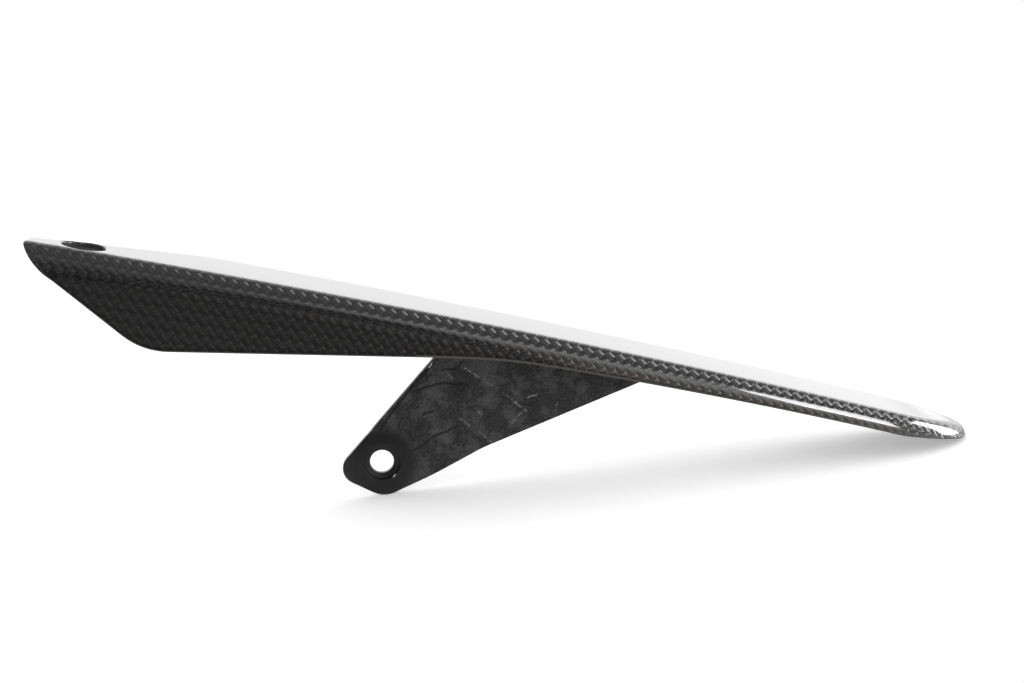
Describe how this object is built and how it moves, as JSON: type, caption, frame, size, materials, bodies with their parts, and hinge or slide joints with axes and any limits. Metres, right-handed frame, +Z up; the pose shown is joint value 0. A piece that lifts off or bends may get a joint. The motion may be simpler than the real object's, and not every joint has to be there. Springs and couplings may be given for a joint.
{
  "type": "motorcycle chain guard",
  "caption": "Moulded carbon-fibre chain guard: a long rounded channel with a hollow outboard skirt, a flat mounting tab with a bolt hole and a hole in its tapered front end.",
  "frame": {"origin": "centre of the tab's bolt hole, in the plane where the bolt's head seats", "axes": "+X to the rear along the swingarm, +Y inboard, away from the skirt, +Z up; the guard slopes down to the rear as it is mounted"},
  "size_m": [0.2417, 0.0285, 0.0848],
  "materials": {
    "carbon_laminate": "clear-coated plain-weave carbon cloth outside, rough resin inside"
  },
  "bodies": {
    "root": {"chain_guard": "carbon_laminate"}
  },
  "joints": []
}
